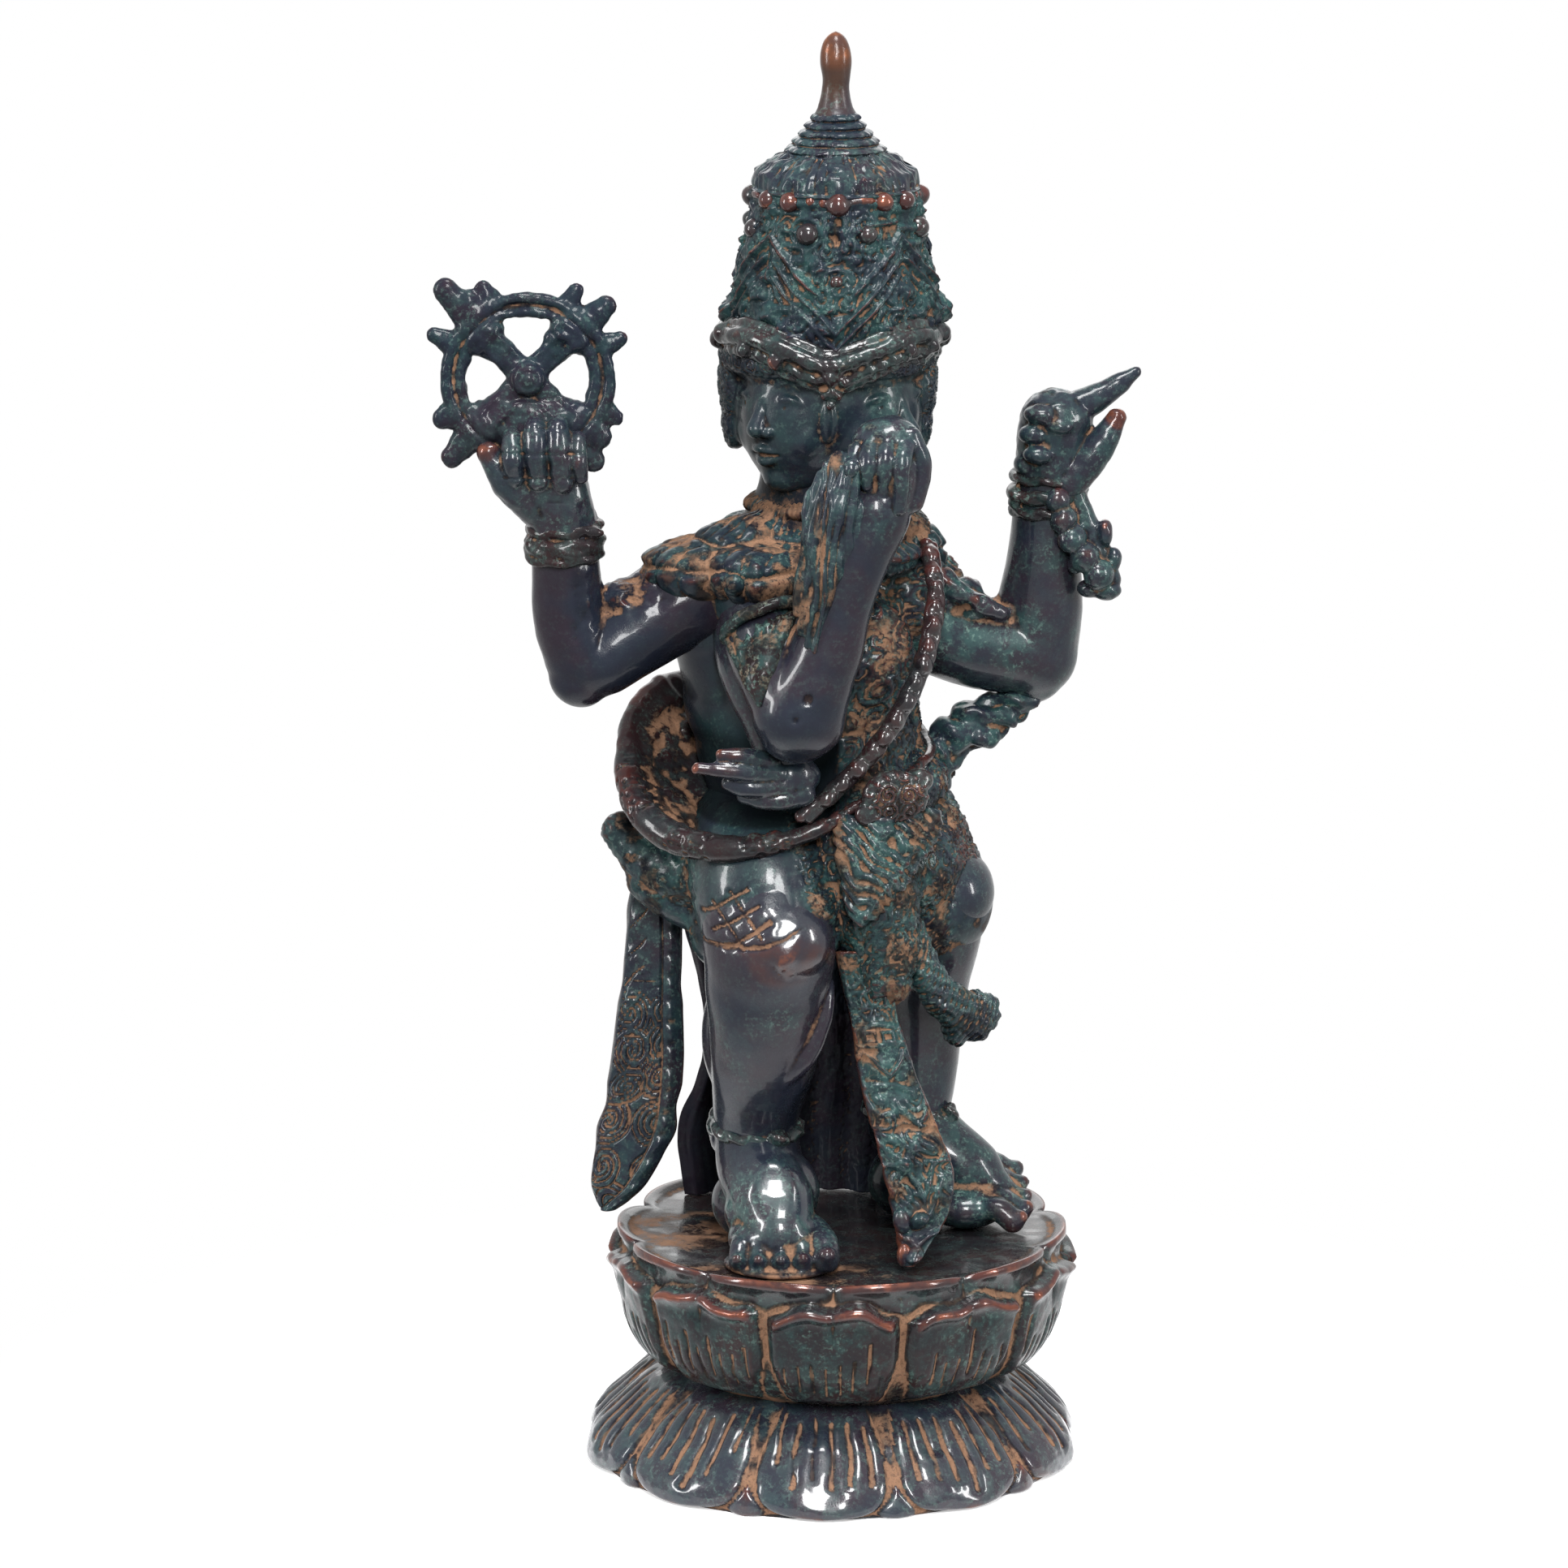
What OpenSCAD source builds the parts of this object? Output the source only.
// Cast brass deity on a double lotus base: four arms, four faces, tall crown and a hand-held wheel.
// The figure is brazed up from separate castings. It stands on the base by a tenon under each foot.
// Origin: centre of the base's underside. +Z is up and -Y is the display front.

/* [Lotus base] */
// Radius of the lower lotus at its petal tips
lower_r = 45.5; // [40:0.5:56]
// Height of the lower lotus
lower_h = 17; // [14:0.5:24]
// Radius of the waist between the two lotuses
waist_r = 30; // [26:0.5:34]
// Radius of the upper lotus at its petals
upper_r = 41; // [38:0.5:50]
// Sideways shift of the upper lotus from the lower one, as it was brazed by eye
upper_shift = 1.5; // [0:0.5:3]
// Height of the upper lotus
upper_h = 24.5; // [18:0.5:34]
// Petals round each lotus
petals = 10; // [8:1:14]
// Thickness of a cast petal
petal_t = 2.4; // [1.6:0.2:4]
// Wall of the cast shells and the deck
wall = 4; // [3:0.5:6]
// Gap between one petal and the next
petal_gap = 1.2; // [0.6:0.2:2.4]

/* [Joints between castings] */
// Radius of the spigot that centres the upper lotus on the lower one
spigot_r = 12; // [8:0.5:18]
// Radial clearance of the spigot and of the tenons
fit_clear = 0.15; // [0.05:0.05:0.4]
// Radius of a foot tenon
tenon_r = 2.5; // [1.5:0.25:3.5]
// Radius of the rivet that holds the two lotuses together
rivet_r = 3; // [2:0.25:4]

/* [Legs] */
// Height of the hips above the deck
hip_z = 72; // [60:1:86]
// Height of the knees above the deck
knee_z = 61; // [50:1:72]
// Radius of a thigh
thigh_r = 12.5; // [10:0.5:15]
// Radius of a knee
knee_r = 12; // [9:0.5:14]
// Radius of a shin at its middle
shin_r = 9.8; // [8:0.2:12]
// Radius of an ankle
ankle_r = 8; // [6:0.2:9.5]
// Length of a foot
foot_l = 26; // [20:0.5:32]
// Thickness of an anklet
anklet_t = 1.8; // [1:0.2:3]

/* [Body] */
// Height of the waist above the deck
waist_z = 92; // [80:1:104]
// Height of the chest above the waist
chest_rise = 24; // [18:1:32]
// Half width of the hips and their wrap
hip_half = 22; // [19:0.5:26]
// Half width of the belly
belly_half = 20.5; // [16:0.5:24]
// Half width of the chest
chest_half = 21; // [18:0.5:25]
// Radius of the rolled belt rim
belt_r = 3.6; // [2.5:0.1:5]
// Thickness of the collar
collar_t = 2.2; // [1.2:0.2:4]
// Radius of a bead on the chest cord
bead_r = 1.7; // [1.2:0.1:2.6]

/* [Arms] */
// Radius of an upper arm
arm_r = 8.2; // [6:0.2:10]
// Radius of a wrist
wrist_r = 6.2; // [4.5:0.1:7.5]
// Thickness of a bracelet
bracelet_t = 1.5; // [0.8:0.1:2.5]
// Radius of a finger
finger_r = 1.9; // [1.3:0.1:2.5]

/* [Wheel] */
// Outer radius of the wheel's ring
wheel_r = 15.4; // [12:0.2:19]
// Width of the ring seen from the front
ring_w = 3.6; // [2.4:0.2:5]
// Thickness of the wheel
wheel_t = 3.4; // [2:0.2:5]
// Radius of the hub
hub_r = 2.6; // [1.8:0.2:4]
// Length of the flames outside the ring
flame_l = 5.6; // [4:0.2:9]

/* [Head and crown] */
// Height of the chin above the waist
chin_rise = 47; // [42:1:56]
// Half width of the four-faced head, corner to corner
head_half = 20; // [17:0.5:24]
// Height of the head from chin to the foot of the crown
head_h = 28; // [22:0.5:34]
// Height of the diadem band
diadem_h = 5; // [3:0.5:7]
// Radius of the crown at its foot
crown_foot_r = 19.4; // [17:0.2:24]
// Radius of the crown at its shoulder
crown_top_r = 14.6; // [12:0.2:17]
// Height of the crown's tapered wall
crown_h = 24; // [18:0.5:34]
// Height of the domed cap over the wall
cap_h = 6.5; // [4:0.5:10]
// Height of the ringed cone
cone_h = 6.5; // [4:0.5:10]
// Height of the finial
finial_h = 14.5; // [10:0.5:20]
// Largest radius of the finial
finial_r = 2.7; // [1.8:0.1:4]

/* [Cloths] */
// Thickness of the hanging sashes
sash_t = 3.2; // [2:0.2:5]
// Half width of the side sash at its widest
side_half = 8.5; // [6:0.5:11]
// Half width of the centre sash at its widest
centre_half = 7.5; // [5:0.5:10]
// Half width of the rear sash at its widest
rear_half = 21; // [14:0.5:24]

/* [Hidden] */

$fn = 48;
// Facets round a ball: few on toes and fingers, more on limbs and the body
function ball_fn(r) = r < 3 ? 6 : r < 6 ? 9 : 12;

petal_step = 360 / petals;
front = -90;
deck_z = lower_h + upper_h;
spigot_h = wall;

// Joints of the body, from the deck up
hip_right = [-12, -4, hip_z];
hip_left = [9, 5, hip_z];
knee_right = [-11, -19, knee_z];
knee_left = [16, 4, knee_z - 1];
ankle_right = [-13, -9, 20];
ankle_left = [14, 7, 18.5];
belly = [-4.5, 1, waist_z];
chest = [-6, 0, waist_z + chest_rise];
shoulder_z = waist_z + chest_rise + 5;
neck = [-3, 0, waist_z + chin_rise - 3];
head_at = [-1, 0, waist_z + chin_rise + head_h / 2];
crown_z = waist_z + chin_rise + head_h;
cap_z = crown_z + crown_h;
cone_z = cap_z + cap_h;
finial_z = cone_z + cone_h;
crown_x = head_at[0] + 1;

// The turned feet: right to the front, left to the side
foot_dir_right = [0.2, -0.98, 0];
foot_dir_left = [0.94, -0.34, 0];
heel_right = [ankle_right[0], ankle_right[1] + 1, 6];
heel_left = [ankle_left[0], ankle_left[1], 6];

// The wheel, seen square on from the front
wheel_elbow = [-43, -15, shoulder_z - 14];
wheel_wrist = [-47.5, -18, shoulder_z + 11];
wheel_palm = [-49.5, -19.5, shoulder_z + 19];
wheel_at = [-52.8, -20, shoulder_z + 38.6];

// The far arm with the shell hand
shell_elbow = [36.5, 10, shoulder_z - 14];
shell_wrist = [38.8, 8, shoulder_z + 12];
shell_palm = [38.5, 8, shoulder_z + 25];

// The folded arm that lifts the fly whisk, and the lowered arm behind it
whisk_shoulder = [-13, -15, shoulder_z];
whisk_elbow = [-8, -29, shoulder_z - 18];
whisk_wrist = [4, -30, shoulder_z + 13];
whisk_fist = [8.5, -27, shoulder_z + 28];
lowered_wrist = [-8, -22, waist_z + 4];
lowered_palm = [-12, -27, waist_z + 1];

// Half widths of the petals, and the round of their tips
lower_half_w = lower_r * sin(petal_step / 2) - petal_gap / 2;
upper_half_w = upper_r * sin(petal_step / 2) - petal_gap / 2;
petal_tip_r = 16;
petal_rise = 1;
rivet_head_h = 2;

// Tenons stand under the middle of each sole
tenon_right = heel_right + foot_dir_right * 4;
tenon_left = heel_left + foot_dir_left * 4;
tenon_in_foot = 6;

neck_r = 11;
wheel_shoulder = [-24, -10, shoulder_z];
shell_shoulder = [15, 9, shoulder_z - 5];
armlet_at = mix(whisk_shoulder, whisk_elbow, 0.35) + [0, -1, 0];
flame_r = 1.8;
spoke_w = 3;
diadem_t = 1.2;
diadem_seat = 2.5;
cone_r = 8.6;
cone_rings = 4;
stud_count = 16;

function mix(a, b, t) = a + (b - a) * t;
// One coordinate of a smooth curve through four stops, between the second and the third
function smooth(a, b, c, d, t) =
    0.5 * (2 * b + (c - a) * t + (2 * a - 5 * b + 4 * c - d) * t * t + (3 * b - a - 3 * c + d) * t * t * t);
// The stops again, with steps points between each pair on a smooth curve
function curve(p, steps) = let (n = len(p) - 1)
    [for (i = [0:n - 1]) for (s = [0:steps - 1])
        smooth(p[max(i - 1, 0)], p[i], p[i + 1], p[min(i + 2, n)], s / steps), p[n]];
function at(point, r) = [point[0], point[1], point[2], r];

module on_deck() translate([0, 0, deck_z]) children();

// A ball at [x, y, z] with radius [3]
module ball(stop) translate([stop[0], stop[1], stop[2]]) sphere(r = stop[3], $fn = ball_fn(stop[3]));

// A rounded body with its own half sizes along x, y and z
module blob(centre, half, turn = 0)
    translate(centre) rotate([0, 0, turn]) scale(half) sphere(r = 1, $fn = 16);

// A limb: balls along a smooth curve, each wrapped with the next
module limb(stops, steps = 3) {
    chain = curve(stops, steps);
    for (i = [0:len(chain) - 2])
        hull() {
            ball(chain[i]);
            ball(chain[i + 1]);
        }
}

// A strip of cloth: flat rounded pads [x, y, z, half width, turn] along a smooth curve, wrapped in pairs
module drape(stops, thick, steps = 3) {
    chain = curve(stops, steps);
    for (i = [0:len(chain) - 2])
        hull() for (s = [chain[i], chain[i + 1]])
            translate([s[0], s[1], s[2]]) rotate([0, 0, s[4]])
                scale([s[3], thick / 2, thick / 2]) sphere(r = 1, $fn = 12);
}

// Turns +Z to point from a to b, with its origin at a
module aimed(a, b) {
    d = b - a;
    translate(a) rotate([0, acos(d[2] / norm(d)), atan2(d[1], d[0])]) children();
}

// A ring of round section, r inside its tube's centre line
module band(r, thick) rotate_extrude($fn = 20) translate([r, 0]) circle(r = thick, $fn = 7);

// ---- Lotus base ----

// Outline of a bowl that swells from r0 at z0 to r1 at z1, moved inwards by inset
function bowl_line(r0, r1, z0, z1, inset = 0, n = 5) =
    [for (i = [0:n]) [mix(r0, r1, sin(90 * i / n)) - inset, mix(z0, z1, i / n)]];
function reversed(p) = [for (i = [len(p) - 1:-1:0]) p[i]];

// A bowl or an upturned bowl, solid to its axis
module bowl(line) rotate_extrude() polygon(concat([[0, line[0][1]]], line, [[0, line[len(line) - 1][1]]]));

// One petal: a slice of a bowl's skin, half_w each way, with a round tip at tip_z
module petal(line, tip_z, half_w, tip_up) {
    inner_line = [for (p = line) [p[0] - 1.6 * petal_t, p[1]]];
    reach = max([for (p = line) p[0]]) + 1;
    centre_z = tip_z + (tip_up ? -petal_tip_r : petal_tip_r);
    spread = petal_step - 2 * petal_gap;
    intersection() {
        rotate([0, 0, -spread / 2]) rotate_extrude(angle = spread)
            polygon(concat(line, reversed(inner_line)));
        translate([0, 0, centre_z]) rotate([0, 90, 0]) cylinder(r = petal_tip_r, h = reach);
        translate([0, -half_w, -1]) cube([reach, 2 * half_w, deck_z + 4]);
    }
}

module petal_ring(line, tip_z, half_w, tip_up)
    for (i = [0:petals - 1])
        rotate([0, 0, front + i * petal_step]) petal(line, tip_z, half_w, tip_up);

lower_line = bowl_line(waist_r + petal_t, lower_r, lower_h - 0.5, 0);
lower_core_line = bowl_line(waist_r, lower_r - petal_t, lower_h, 0);
upper_line = bowl_line(waist_r, upper_r, lower_h + 0.5, deck_z + petal_rise);
upper_core_line = bowl_line(waist_r - petal_t, upper_r - petal_t, lower_h, deck_z);

module lower_lotus() color("#3a3b40") difference() {
    union() {
        bowl(lower_core_line);
        petal_ring(lower_line, -petal_rise, lower_half_w, false);
    }
    bowl(bowl_line(waist_r - wall, lower_r - petal_t - wall, lower_h - spigot_h - wall, -1, 0, 3));
    translate([0, 0, lower_h - spigot_h]) cylinder(r = spigot_r + fit_clear, h = spigot_h + 1);
    cylinder(r = rivet_r + fit_clear, h = deck_z);
}

module upper_lotus() color("#3c3438") difference() {
    union() {
        translate([upper_shift, 0, 0]) {
            bowl(upper_core_line);
            petal_ring(upper_line, deck_z + 2 * petal_rise, upper_half_w, true);
        }
        translate([0, 0, lower_h - spigot_h + fit_clear]) cylinder(r = spigot_r, h = spigot_h + wall);
    }
    translate([upper_shift, 0, 0]) bowl(bowl_line(
        waist_r - petal_t - wall, upper_r - petal_t - wall, lower_h + wall, deck_z - wall, 0, 3
    ));
    translate([0, 0, lower_h - spigot_h]) cylinder(r = rivet_r + fit_clear, h = spigot_h + 2 * wall);
    for (at_foot = [tenon_right, tenon_left])
        translate([at_foot[0], at_foot[1], deck_z - wall - 1])
            cylinder(r = tenon_r + fit_clear, h = wall + 2);
}

// A rivet with a head under the lower lotus and a peened head inside the upper one
module base_rivet() color("#8a5a2a") {
    grip_low = lower_h - spigot_h - wall;
    grip_high = lower_h + wall;
    translate([0, 0, grip_low - rivet_head_h]) cylinder(r = 2 * rivet_r, h = rivet_head_h);
    translate([0, 0, grip_low]) cylinder(r = rivet_r, h = grip_high - grip_low);
    translate([0, 0, grip_high]) cylinder(r1 = 2 * rivet_r, r2 = rivet_r, h = rivet_head_h);
}

// Tenons cast under the soles, peened over below the deck
module foot_tenons() color("#8a5a2a") on_deck() for (at_foot = [tenon_right, tenon_left])
    translate([at_foot[0], at_foot[1], 0]) {
        translate([0, 0, -wall]) cylinder(r = tenon_r, h = wall + tenon_in_foot);
        translate([0, 0, -wall - rivet_head_h]) cylinder(r1 = tenon_r, r2 = 1.8 * tenon_r, h = rivet_head_h);
    }

// ---- Legs ----

// A foot: instep, ball and five toes that spread from the direction dir
module foot(ankle, heel, dir, big_side) {
    side = [-dir[1], dir[0], 0];
    ball_at = heel + dir * foot_l * 0.55;
    limb([at(ankle, ankle_r), at(heel + dir * 2 + [0, 0, 4], 7.4), at(ball_at + [0, 0, -1.2], 4.6)], 2);
    for (s = [-1, 1]) hull() {
        ball(at(heel + [0, 0, -1], 4.8));
        ball(at(ball_at + side * s * 4 + [0, 0, -2.9], 2.9));
    }
    for (i = [0:4]) {
        across = big_side * (i - 2) * 2.6;
        out = foot_l * (0.86 - 0.035 * i) - 4;
        toe_r = i == 0 ? 2.1 : 1.7 - 0.08 * i;
        hull() {
            ball(at(ball_at + side * across * 0.85 + [0, 0, -3], 2.6));
            ball(at(heel + dir * out + side * across + [0, 0, -heel[2] + toe_r], toe_r));
        }
    }
}

module right_leg_form() {
    limb([
        at(hip_right, thigh_r), at(mix(hip_right, knee_right, 0.6), thigh_r + 0.5),
        at(knee_right, knee_r), at(mix(knee_right, ankle_right, 0.3) + [0, -1, 0], shin_r + 0.6),
        at(mix(knee_right, ankle_right, 0.6), shin_r - 0.6), at(ankle_right, ankle_r)
    ], 2);
    foot(ankle_right, heel_right, foot_dir_right, 1);
}

module left_leg_form() {
    limb([
        at(hip_left, thigh_r), at(mix(hip_left, knee_left, 0.6), thigh_r),
        at(knee_left, knee_r - 1), at(mix(knee_left, ankle_left, 0.4) + [0, 2, 0], shin_r - 1.5),
        at(ankle_left, ankle_r - 1)
    ], 2);
    foot(ankle_left, heel_left, foot_dir_left, -1);
}

module above_deck() difference() {
    children();
    translate([-upper_r, -upper_r, -20]) cube([2 * upper_r, 2 * upper_r, 20]);
}

module leg_cuts(tenon) translate([tenon[0], tenon[1], -1]) cylinder(r = tenon_r, h = tenon_in_foot + 1);

module right_leg() color("#3f4046") on_deck() difference() {
    above_deck() right_leg_form();
    leg_cuts(tenon_right);
}

module left_leg() color("#3a3b40") on_deck() difference() {
    above_deck() left_leg_form();
    leg_cuts(tenon_left);
    right_leg_form();
}

module right_anklet() color("#43302c") on_deck() difference() {
    union() {
        aimed(ankle_right + [0, 0, 2], knee_right) band(ankle_r, anklet_t);
        ball(at(ankle_right + [3, -ankle_r - 0.8, 2.5], 2));
    }
    right_leg_form();
}

module left_anklet() color("#43302c") on_deck() difference() {
    aimed(ankle_left + [0, 0, 1], knee_left) band(ankle_r - 1, anklet_t);
    left_leg_form();
}

// ---- Body ----

module torso_form() {
    limb([
        at([0, 2, hip_z + 4], hip_half - 4), at(belly, belly_half),
        at(mix(belly, chest, 0.5), belly_half - 0.5), at(chest, chest_half - 2.5), at(neck, neck_r)
    ], 2);
    for (s = [whisk_shoulder, shell_shoulder, wheel_shoulder])
        hull() {
            ball(at(chest + [0, 0, 2], chest_half - 8));
            ball(at(s, arm_r + 0.5));
        }
    hull() {
        ball(at(wheel_shoulder, arm_r));
        ball(at(belly + [-6, 0, 4], belly_half - 5));
    }
    hull() {
        ball(at(neck, neck_r - 2));
        ball(at(shell_shoulder + [-1, -5, 10], arm_r - 1));
        ball(at(shell_shoulder + [-2, -4, 0], arm_r));
    }
}

module hip_form() {
    hull() {
        blob([0, 1, waist_z - 8], [hip_half - 2, hip_half - 4, 6]);
        blob([2, 1, hip_z - 4], [hip_half + 1, hip_half - 3, 12]);
    }
    hull() {
        ball(at(hip_right + [-1, 0, 1], thigh_r + 1));
        ball(at(mix(hip_right, knee_right, 0.45) + [0, 0, 2], thigh_r + 1.2));
    }
    hull() {
        ball(at(hip_left, thigh_r + 2));
        ball(at(mix(hip_left, knee_left, 0.55) + [0, 0, 2], thigh_r + 1.6));
    }
    limb([[4, -14, hip_z, 8], [8, -16, hip_z - 14, 6], [10, -15, hip_z - 22, 4]], 2);
}

module hip_wrap() color("#2f4a46") on_deck() difference() {
    hip_form();
    right_leg_form();
    left_leg_form();
    torso_form();
}

module torso() color("#3a3f42") on_deck() difference() {
    torso_form();
    right_leg_form();
    left_leg_form();
    head_form();
}

belt_route = [
    [-36, 4, waist_z + 2], [-36.5, -5, waist_z - 6], [-31, -15, waist_z - 14], [-20, -22, waist_z - 15],
    [-6, -23, waist_z - 9], [8, -19, waist_z - 4], [17, -8, waist_z], [18, 6, waist_z + 2],
    [10, 18, waist_z + 3], [-6, 23, waist_z + 4], [-22, 20, waist_z + 5], [-32, 13, waist_z + 5]
];

// The rolled rim of the waistcloth: it stands off the belly on the right and lies on the hips elsewhere
module belt_form() limb([for (i = [0:len(belt_route)]) at(belt_route[i % len(belt_route)], belt_r)], 2);

// The cupped cloth between the rolled rim and the hips
module belt_cup() for (i = [8:len(belt_route) + 3]) {
    here = belt_route[i % len(belt_route)];
    next = belt_route[(i + 1) % len(belt_route)];
    hull() for (p = [here, next]) {
        ball(at(p, sash_t / 2));
        ball(at(mix(p, [0, 1, hip_z], 0.6), sash_t / 2));
    }
}

module belt_rim() color("#3c2a28") on_deck() difference() {
    union() {
        belt_form();
        belt_cup();
    }
    torso_form();
    hip_form();
    right_leg_form();
}

// A plate with a rounded edge that faces out along the direction turn
module leaf_plate(centre, half_w, half_h, thick, turn, lean = 0)
    translate(centre) rotate([0, 0, turn]) rotate([lean, 0, 0]) hull() {
        rotate([90, 0, 0]) scale([half_w / half_h, 1, 1])
            cylinder(r = half_h * 0.72, h = thick, center = true);
        for (s = [-1, 1]) translate([0, 0, s * half_h])
            rotate([90, 0, 0]) cylinder(r = 0.7, h = thick * 0.7, center = true);
    }

module buckle() color("#4a2a24") on_deck() difference() {
    leaf_plate([11, -20.5, waist_z - 6.5], 6, 5.5, 3.4, 24, -8);
    belt_form();
    hip_form();
    torso_form();
}

module apron() color("#2f4a46") on_deck() difference() {
    hull() {
        translate([-2, -21, waist_z - 12]) sphere(r = 1.8, $fn = 16);
        translate([18, -15, waist_z - 11]) sphere(r = 1.8, $fn = 16);
        translate([6, -23, hip_z - 8]) sphere(r = 2, $fn = 16);
    }
    belt_form();
    hip_form();
    torso_form();
    right_leg_form();
}

module collar() color("#4a4038") on_deck() difference() {
    union() {
        hull() {
            blob(neck + [0, 0, -2], [neck_r + collar_t, neck_r + collar_t, 2]);
            blob(chest + [0, 0, 9], [chest_half + collar_t, chest_half - 4 + collar_t, 4]);
        }
        translate(whisk_shoulder + [-5, -5, 6]) rotate([0, 0, -45]) cube([4.4, 5, 4.4], center = true);
    }
    torso_form();
    head_form();
    wheel_arm_form();
    shell_arm_form();
    whisk_arm_form();
    lowered_arm_form();
}

// Long beads on a cord from the left shoulder to the right hip
cord_route = [
    [18, -4, shoulder_z + 4], [17.5, -11, shoulder_z - 5], [15, -15, shoulder_z - 15],
    [9, -18, shoulder_z - 23],
    [3, -19.5, shoulder_z - 31], [-3, -20, shoulder_z - 37]
];

module chest_cord() color("#4a2420") on_deck() difference() {
    chain = curve(cord_route, 3);
    union() for (i = [0:len(chain) - 2]) hull() {
        ball(at(mix(chain[i], chain[i + 1], 0.14), bead_r));
        ball(at(mix(chain[i], chain[i + 1], 0.86), bead_r));
    }
    torso_form();
    hip_form();
    belt_form();
    whisk_arm_form();
    lowered_arm_form();
    collar_guard();
}

// The collar's own space, kept clear by what lies beside it
module collar_guard() hull() {
    blob(neck + [0, 0, -2], [neck_r + collar_t, neck_r + collar_t, 2]);
    blob(chest + [0, 0, 9], [chest_half + collar_t, chest_half - 4 + collar_t, 4]);
}

// ---- Hanging cloths ----

module body_form() {
    hip_form();
    right_leg_form();
    left_leg_form();
    torso_form();
}

module side_sash() color("#36383c") on_deck() difference() {
    union() {
        drape([
            [-32, 4, hip_z + 6, 3, 0], [-34, 3, hip_z - 10, 3.5, -5],
            [-34, 1, hip_z * 0.58, side_half - 2.5, -8],
            [-34, -2, hip_z * 0.36, side_half - 1, -8], [-38, -4, hip_z * 0.17, side_half - 1.5, -10],
            [-40, -5, sash_t, 3, -10]
        ], sash_t);
        hull() {
            ball([-41.5, 2, waist_z - 9, 1]);
            ball([-30, 6, waist_z - 6, 3]);
            ball([-30, 3, hip_z + 4, 3]);
        }
    }
    body_form();
    belt_form();
    belt_cup();
}

module centre_sash() color("#2f4a46") on_deck() difference() {
    drape([
        [8, -19, hip_z - 18, centre_half - 2, 12], [10, -23, hip_z - 34, centre_half - 1.5, 12],
        [13.5, -25, hip_z - 48, centre_half - 0.5, 14], [15.5, -26, 16, centre_half, 14],
        [15.5, -27, 7, 4, 14], [14.4, -27.5, sash_t / 2, 1.6, 14]
    ], sash_t);
    body_form();
}

module rear_sash() color("#36383c") on_deck() difference() {
    drape([
        [-6, 18, hip_z + 2, rear_half - 2, 0], [-8, 20, hip_z - 14, rear_half, 0],
        [-4, 22, hip_z / 2, rear_half - 6, 0], [-7, 23, 14, rear_half, 0],
        [-7, 23, sash_t / 2, rear_half - 3, 0]
    ], sash_t);
    body_form();
    belt_form();
}

module curl_tassel() color("#2f4a46") on_deck() difference() {
    limb([
        [14, -14, hip_z - 14, 2.8], [18, -13, hip_z - 22, 3], [21, -11, hip_z - 29, 3.2],
        [25, -8, hip_z - 33, 3.6]
    ], 3);
    body_form();
}

// ---- Arms ----

module wheel_arm_form() limb([
    at(wheel_shoulder, arm_r + 1), at(mix(wheel_shoulder, wheel_elbow, 0.5), arm_r + 0.6),
    at(wheel_elbow, arm_r), at(mix(wheel_elbow, wheel_wrist, 0.45), wrist_r + 0.8), at(wheel_wrist, wrist_r)
], 3);

module shell_arm_form() limb([
    at(shell_shoulder, arm_r + 1), at(mix(shell_shoulder, shell_elbow, 0.5), arm_r + 0.4),
    at(shell_elbow, arm_r), at(mix(shell_elbow, shell_wrist, 0.45), wrist_r + 1), at(shell_wrist, wrist_r)
], 3);

module whisk_arm_form() limb([
    at(whisk_shoulder, arm_r), at(mix(whisk_shoulder, whisk_elbow, 0.5) + [0, -2, 0], arm_r - 0.6),
    at(whisk_elbow, arm_r - 0.6), at(mix(whisk_elbow, whisk_wrist, 0.45) + [0, -1, 0], wrist_r),
    at(whisk_wrist, wrist_r - 1)
], 3);

module lowered_arm_form() limb([
    at(whisk_shoulder + [-1, 1, -4], arm_r - 1), at([-14, -18, waist_z + 16], arm_r - 2),
    at(lowered_wrist, wrist_r - 1.4)
], 4);

module wheel_arm() color("#3f4046") on_deck() difference() {
    wheel_arm_form();
    torso_form();
}

module shell_arm() color("#3f4046") on_deck() difference() {
    shell_arm_form();
    torso_form();
}

module whisk_arm() color("#3f4046") on_deck() difference() {
    whisk_arm_form();
    torso_form();
    head_form();
}

module lowered_arm() color("#3a3b40") on_deck() difference() {
    lowered_arm_form();
    torso_form();
    whisk_arm_form();
}

// A finger: knuckle, middle joint and tip, wrapped in two pieces
module finger(a, b, c, r = finger_r) {
    hull() {
        ball(at(a, r * 1.1));
        ball(at(b, r));
    }
    hull() {
        ball(at(b, r));
        ball(at(c, r * 0.75));
    }
}

module wheel_hand_form() {
    limb([at(wheel_wrist, wrist_r - 0.4), at(wheel_palm, wrist_r - 0.2), at(wheel_palm + [0, 0, 4], 5.2)], 2);
    for (i = [0:3]) {
        x = wheel_palm[0] + 6.5 - 3.6 * i;
        top_z = wheel_palm[2] + 11.5 - 0.5 * i;
        finger([x, -22, wheel_palm[2] + 3], [x, -25.2, top_z - 3], [x, -23, top_z]);
    }
    finger(wheel_palm + [-5, -1, 2], wheel_palm + [-10, -2, 6], wheel_palm + [-12, -2, 11], 2.2);
}

module wheel_hand() color("#3f4046") on_deck() difference() {
    wheel_hand_form();
    wheel_arm_form();
    translate(wheel_at) {
        rotate([90, 0, 0]) cylinder(r = wheel_r, h = wheel_t, center = true, $fn = 32);
        wheel_flames($fn = 16);
    }
}

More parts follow.
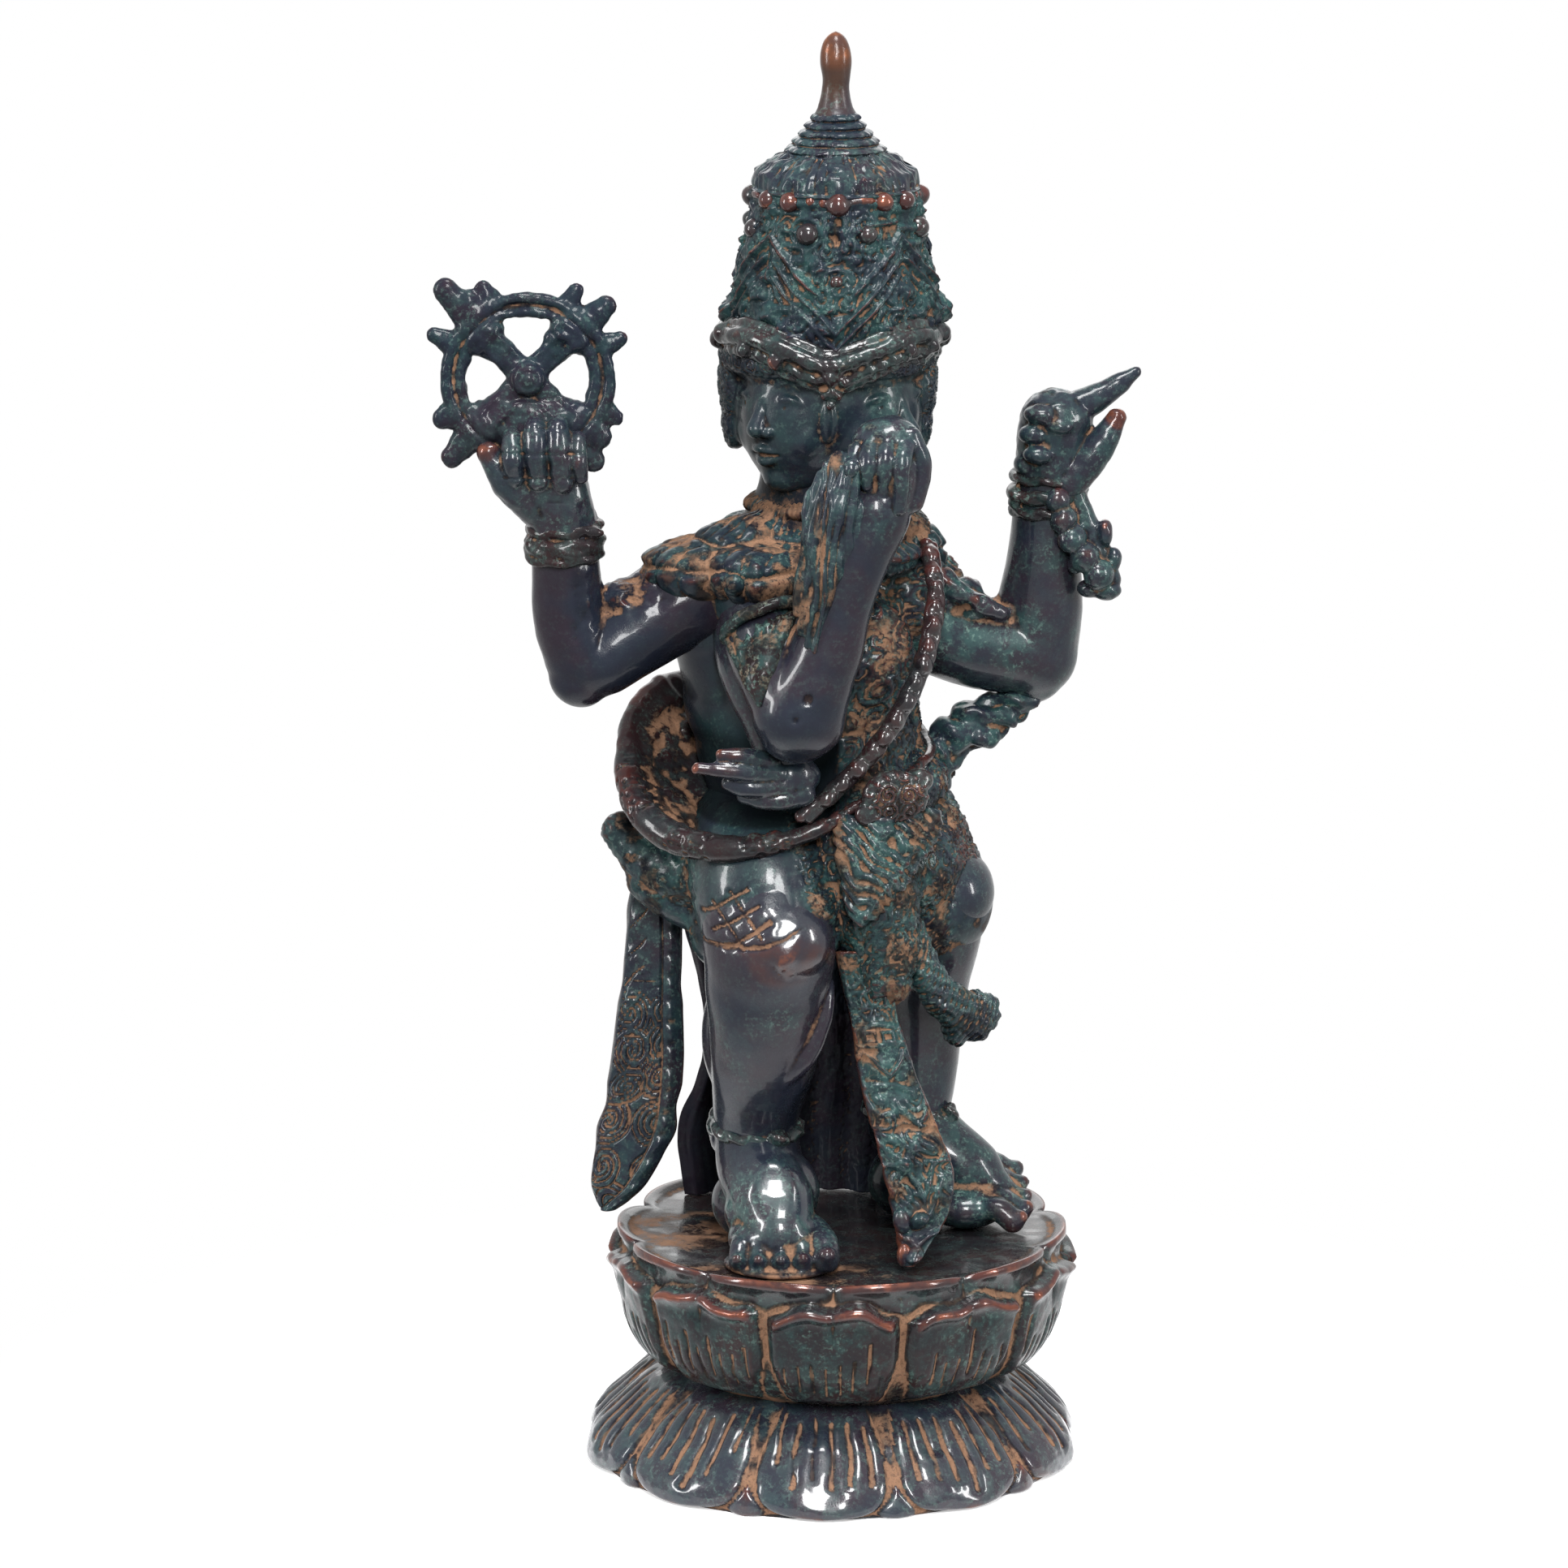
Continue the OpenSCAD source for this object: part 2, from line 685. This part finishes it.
module wheel_bracelet() color("#4a2a24") on_deck() difference() {
    aimed(wheel_wrist, wheel_palm) for (rise = [-1, 0, 1])
        translate([0, 0, 1.8 * bracelet_t * rise - 1]) band(wrist_r + 0.2, bracelet_t);
    wheel_arm_form();
    wheel_hand_form();
}

// Flames in threes at the four diagonals of the wheel
module flame(lean, length) rotate([0, lean, 0]) {
    translate([0, 0, wheel_r - 1]) cylinder(r1 = flame_r, r2 = flame_r * 0.8, h = length);
    translate([0, 0, wheel_r - 1 + length]) sphere(r = flame_r * 0.8);
}

module wheel() color("#2b3338") on_deck() translate(wheel_at) {
    difference() {
        rotate([90, 0, 0]) rotate_extrude()
            translate([wheel_r - ring_w, -wheel_t / 2]) square([ring_w, wheel_t]);
        rotate([90, 0, 0]) rotate_extrude()
            translate([wheel_r - ring_w / 2, wheel_t / 2]) circle(r = ring_w * 0.22);
    }
    rotate([90, 0, 0]) cylinder(r = hub_r, h = wheel_t + 1.6, center = true);
    for (i = [0:3]) rotate([0, 45 + 90 * i, 0]) {
        rotate([90, 0, 0]) linear_extrude(height = wheel_t * 0.7, center = true) polygon([
            [-spoke_w / 2, hub_r - 0.6], [spoke_w / 2, hub_r - 0.6],
            [spoke_w, wheel_r - ring_w + 0.5], [-spoke_w, wheel_r - ring_w + 0.5]
        ]);
    }
    wheel_flames();
}

module wheel_flames() for (i = [0:3], lean = [-1, 0, 1])
    rotate([0, 45 + 90 * i, 0]) flame(lean * 21, flame_l - 1.2 * abs(lean));

module shell_hand_form() {
    limb([
        at(shell_wrist, wrist_r - 0.4), at(shell_palm + [0, 0, -4], 6), at(shell_palm + [0, 0, 2], 5.4)
    ], 2);
    for (i = [0:2])
        finger(shell_palm + [-3 + i, -4, -8 + 4.2 * i], shell_palm + [-5 + i, -6.5, -6.4 + 4.4 * i],
            shell_palm + [2, -7, -7 + 4.2 * i]);
    finger(shell_palm + [4, 0, 0], shell_palm + [10, 0, 5], shell_palm + [15.5, 0, 11.5]);
    finger(shell_palm + [3, -2, -8], shell_palm + [8, -2, -4], shell_palm + [13, -1, 4], 2.2);
}

module shell_hand() color("#36383c") on_deck() difference() {
    shell_hand_form();
    shell_arm_form();
}

module shell_bracelet_form() aimed(shell_wrist, shell_palm) for (rise = [-1, 1])
    translate([0, 0, 0.9 * bracelet_t * rise - 1]) band(wrist_r + 0.2, bracelet_t);

module shell_bracelet() color("#4a2a24") on_deck() difference() {
    shell_bracelet_form();
    shell_arm_form();
    shell_hand_form();
}

// Beads that hang from the bracelet to a tassel
module bead_string() color("#26282c") on_deck() difference() {
    route = curve([
        shell_wrist + [6, -5, 1], shell_wrist + [8, -5, -5], shell_wrist + [9.5, -5, -11],
        shell_wrist + [9.5, -4, -17]
    ], 2);
    last = route[len(route) - 1];
    union() {
        for (i = [0:len(route) - 2]) hull() {
            ball(at(mix(route[i], route[i + 1], 0.1), 2.4));
            ball(at(mix(route[i], route[i + 1], 0.7), 2.4));
        }
        hull() {
            ball(at(last, 2.4));
            ball(at(last + [-3, 1, -2], 2.2));
        }
    }
    shell_arm_form();
    shell_hand_form();
    shell_bracelet_form();
}

// The ruffled scarf from the far elbow round to the hip
module scarf_loop() color("#2f4a46") on_deck() difference() {
    limb([
        at(shell_elbow + [0, 0, -2], 4.5), at(shell_elbow + [-4, -1, -9], 4.4), at([26, 8, waist_z - 3], 4),
        [20, 6, waist_z - 9, 4.4], [13, 4, hip_z + 4, 5]
    ], 3);
    shell_arm_form();
    torso_form();
    hip_form();
    belt_form();
}

module armlet() color("#4a4038") on_deck() difference() {
    union() {
        aimed(armlet_at, whisk_elbow) band(arm_r - 0.4, 1.4);
        leaf_plate(armlet_at + [-1.5, -arm_r + 0.6, 1], 3.6, 5.6, 2.6, -8, 8);
    }
    whisk_arm_form();
    torso_form();
    lowered_arm_form();
    collar_guard();
    whisk_form();
}

module whisk_hand_form() {
    limb([
        at(whisk_wrist, wrist_r - 1.2), at(whisk_fist + [0, 0, -5], 5), at(whisk_fist + [0, 0, 2], 5.4)
    ], 2);
    for (i = [0:3])
        finger(whisk_fist + [-4 + 2.6 * i, -3, 4], whisk_fist + [-4.4 + 2.7 * i, -6, 2],
            whisk_fist + [-3.6 + 2.5 * i, -5.4, -3], 1.6);
    finger(whisk_fist + [4.5, -1, -4], whisk_fist + [6.5, -3, 0], whisk_fist + [5, -4.4, 3.6], 1.7);
}

module whisk_hand() color("#3a3b40") on_deck() difference() {
    whisk_hand_form();
    whisk_arm_form();
    head_form();
    diadem_guard();
}

// Hair of the fly whisk: it leaves the fist, lies along the forearm and ends in a point
module whisk_form() {
    limb([
        at(whisk_fist + [-6, -3, 1], 3), at(whisk_fist + [-8, -4, -12], 4),
        at(whisk_wrist + [-9, -4, -8], 4.4),
        at(whisk_wrist + [-7, -6, -16], 3), at(whisk_wrist + [-5.5, -6, -25], 0.9)
    ], 3);
}

module fly_whisk() color("#3b4a45") on_deck() difference() {
    whisk_form();
    whisk_hand_form();
    whisk_arm_form();
    torso_form();
    head_form();
    collar_guard();
}

module lowered_hand_form() {
    limb([at(lowered_wrist, wrist_r - 1.6), at(lowered_palm, 4.4), at(lowered_palm + [-3, -1, -1], 4)], 2);
    for (i = [0:3])
        finger(lowered_palm + [-4, -2, 2 - 1.7 * i], lowered_palm + [-8.5, -3, 2.2 - 1.9 * i],
            lowered_palm + [-12, -3, 1.4 - 1.8 * i], 1.5);
    finger(lowered_palm + [0, -2, 3], lowered_palm + [-4, -3, 5.4], lowered_palm + [-9, -3, 6], 1.6);
}

module lowered_hand() color("#3a3b40") on_deck() difference() {
    lowered_hand_form();
    lowered_arm_form();
    whisk_arm_form();
    torso_form();
    belt_form();
}

// ---- Head and crown ----

// The four-faced head: four brows and chins at the diagonals about one rounded core
module head_form() {
    hull() {
        for (turn = [45:90:315]) rotate_about(head_at, turn) {
            translate([head_half * 0.5, 0, head_h * 0.25]) sphere(r = head_half * 0.42, $fn = 14);
            translate([head_half * 0.48, 0, -head_h * 0.3]) sphere(r = head_half * 0.3, $fn = 12);
        }
        translate(head_at + [0, 0, head_h * 0.15]) sphere(r = head_half * 0.86, $fn = 16);
    }
    for (turn = [45:90:315]) rotate_about(head_at, turn) {
        hull() {
            translate([head_half * 0.86, 0, 0.5]) sphere(r = 1.1, $fn = 8);
            translate([head_half * 0.98, 0, -3.4]) sphere(r = 1.7, $fn = 8);
        }
        translate([head_half * 0.82, 0, -head_h * 0.28]) scale([0.8, 1.7, 0.7]) sphere(r = 2, $fn = 8);
    }
    for (turn = [0:90:270]) rotate_about(head_at, turn) hull() {
        translate([head_half * 0.86, 0, 2]) sphere(r = 1.8, $fn = 8);
        translate([head_half * 0.8, 0, -6]) sphere(r = 1.4, $fn = 8);
    }
}

module rotate_about(centre, turn) translate(centre) rotate([0, 0, turn]) children();

module head() color("#34454a") on_deck() difference() {
    head_form();
    diadem_guard();
    translate([crown_x, 0, crown_z]) cylinder(r = crown_foot_r, h = crown_h);
}

module diadem_guard() translate([crown_x, 0, crown_z - diadem_h])
    cylinder(r = crown_foot_r + diadem_t, h = diadem_h);

module diadem() color("#3c2a28") on_deck() translate([crown_x, 0, crown_z - diadem_h]) {
    difference() {
        cylinder(r = crown_foot_r + diadem_t, h = diadem_h);
        translate([0, 0, -1]) cylinder(r = crown_foot_r - diadem_seat, h = diadem_h + 2);
    }
    for (turn = [0:90:270]) rotate([0, 0, front + turn])
        translate([crown_foot_r + diadem_t - 0.8, 0, 1]) sphere(r = 2);
}

// Radius of the crown's tapered wall at a share t of its height
function crown_r(t) = mix(crown_foot_r, crown_top_r, t);

module crown_form() rotate_extrude() polygon([
    [0, -diadem_h + 1], [crown_foot_r - diadem_seat, -diadem_h + 1], [crown_foot_r - diadem_seat, 0],
    [crown_foot_r, 0], [crown_r(0.35) + 0.4, crown_h * 0.35], [crown_r(0.7) + 0.3, crown_h * 0.7],
    [crown_top_r, crown_h], [0, crown_h]
]);

// The crown is cast hollow, open below where it sits on the head
module crown() color("#2f4a46") on_deck() translate([crown_x, 0, crown_z]) difference() {
    crown_form();
    translate([0, 0, -diadem_h])
        cylinder(r1 = crown_foot_r - 2 * wall, r2 = crown_top_r - 1.5 * wall, h = crown_h);
}

// Studs brazed on: a row under the cap and three on each side of the wall
module crown_studs() color("#4a2420") on_deck() translate([crown_x, 0, crown_z]) difference() {
    union() {
        for (i = [0:stud_count - 1]) rotate([0, 0, front + i * 360 / stud_count])
            translate([crown_top_r, 0, crown_h - 2.2]) sphere(r = i % 2 == 0 ? 1.9 : 1.4, $fn = 16);
        for (turn = [0:90:270]) rotate([0, 0, front + turn]) {
            for (s = [-1, 1]) rotate([0, 0, s * 21])
                translate([crown_r(0.7) - 0.2, 0, crown_h * 0.7]) sphere(r = 2, $fn = 16);
            translate([crown_r(0.42), 0, crown_h * 0.42]) sphere(r = 1.8, $fn = 16);
        }
    }
    crown_form();
}

module crown_cap() color("#3a3b40") on_deck() translate([crown_x, 0, cap_z]) rotate_extrude() polygon(concat(
    [[0, 0]], [for (i = [0:8]) [mix(crown_top_r, cone_r, 1 - cos(90 * i / 8)), cap_h * sin(90 * i / 8)]],
    [[0, cap_h]]
));

module ringed_cone() color("#3a3b40") on_deck() translate([crown_x, 0, cone_z]) rotate_extrude() {
    for (i = [0:cone_rings - 1]) {
        r = mix(cone_r, finial_r, i / (cone_rings - 1));
        step = cone_h / cone_rings;
        translate([0, i * step]) polygon([
            [0, 0], [r - 0.6, 0], [r, step * 0.3], [r, step * 0.6], [r - 1, step], [0, step]
        ]);
    }
}

module finial() color("#8a4a20") on_deck() translate([crown_x, 0, finial_z]) rotate_extrude() polygon([
    [0, 0], [finial_r - 0.6, 0], [finial_r * 0.66, finial_h * 0.14], [finial_r * 0.82, finial_h * 0.34],
    [finial_r, finial_h * 0.5], [finial_r * 0.9, finial_h * 0.7], [finial_r * 0.6, finial_h * 0.88],
    [finial_r * 0.2, finial_h], [0, finial_h]
]);

lower_lotus();
upper_lotus();
base_rivet();
foot_tenons();
right_leg();
left_leg();
right_anklet();
left_anklet();
hip_wrap();
torso();
belt_rim();
buckle();
apron();
collar();
chest_cord();
side_sash();
centre_sash();
rear_sash();
curl_tassel();
wheel_arm();
wheel_hand();
wheel_bracelet();
wheel();
shell_arm();
shell_hand();
shell_bracelet();
bead_string();
scarf_loop();
whisk_arm();
armlet();
whisk_hand();
fly_whisk();
lowered_arm();
lowered_hand();
head();
diadem();
crown();
crown_studs();
crown_cap();
ringed_cone();
finial();
